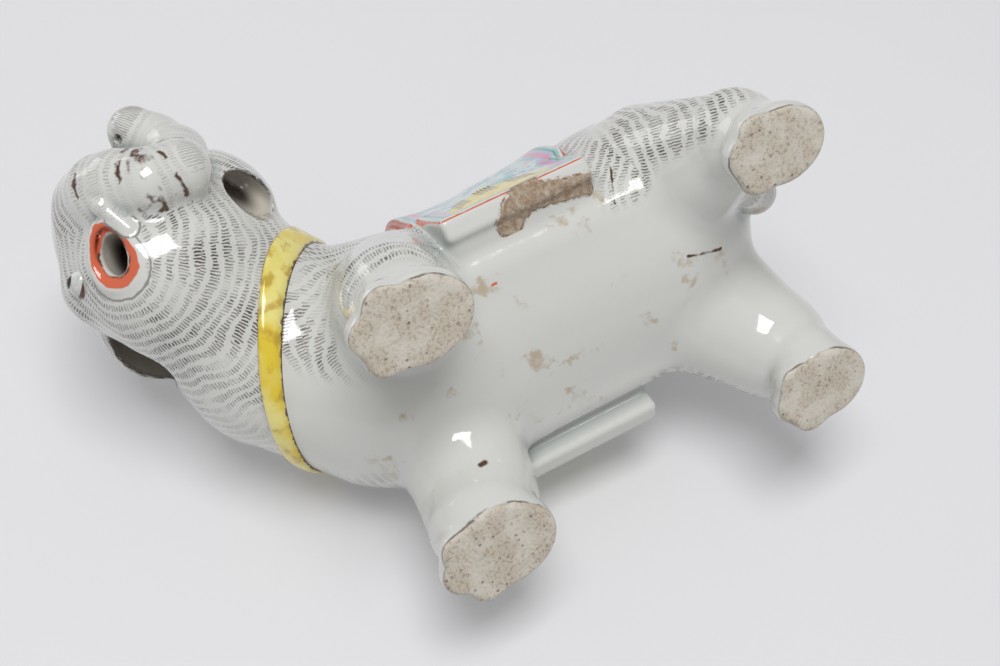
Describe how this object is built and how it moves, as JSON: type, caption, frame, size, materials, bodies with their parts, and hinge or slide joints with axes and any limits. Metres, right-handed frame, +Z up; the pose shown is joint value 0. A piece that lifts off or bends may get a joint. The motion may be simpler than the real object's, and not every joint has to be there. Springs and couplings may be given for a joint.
{
  "type": "porcelain elephant figurine",
  "caption": "Standing hollow porcelain elephant with turned head, curled trunk, cupped ears, yellow collar, slab saddle-cloth flaps and a low vase socket on its back.",
  "frame": {"origin": "under the middle of the figure's bounding box, at the level of the four soles", "axes": "+Z up; the elephant faces -Y, its tail is towards +Y, its own left side is towards +X"},
  "size_m": [0.1138, 0.1682, 0.109],
  "materials": {
    "white_glaze": "glossy",
    "yellow_enamel": "glossy",
    "cloth_enamel": "glossy",
    "dark_enamel": "glossy"
  },
  "bodies": {
    "root": {"torso_left_half": "white_glaze", "torso_right_half": "white_glaze", "head_left_half": "white_glaze", "head_right_half": "white_glaze", "ear_left": "white_glaze", "ear_right": "white_glaze", "eye_left": "dark_enamel", "eye_right": "dark_enamel", "trunk": "white_glaze", "collar_band": "yellow_enamel", "front_leg_left": "white_glaze", "front_leg_right": "white_glaze", "rear_leg_left": "white_glaze", "rear_leg_right": "white_glaze", "tail": "white_glaze", "saddle_cloth": "cloth_enamel", "saddle_flap_left": "cloth_enamel", "saddle_flap_right": "cloth_enamel", "vase_socket": "white_glaze"}
  },
  "joints": []
}
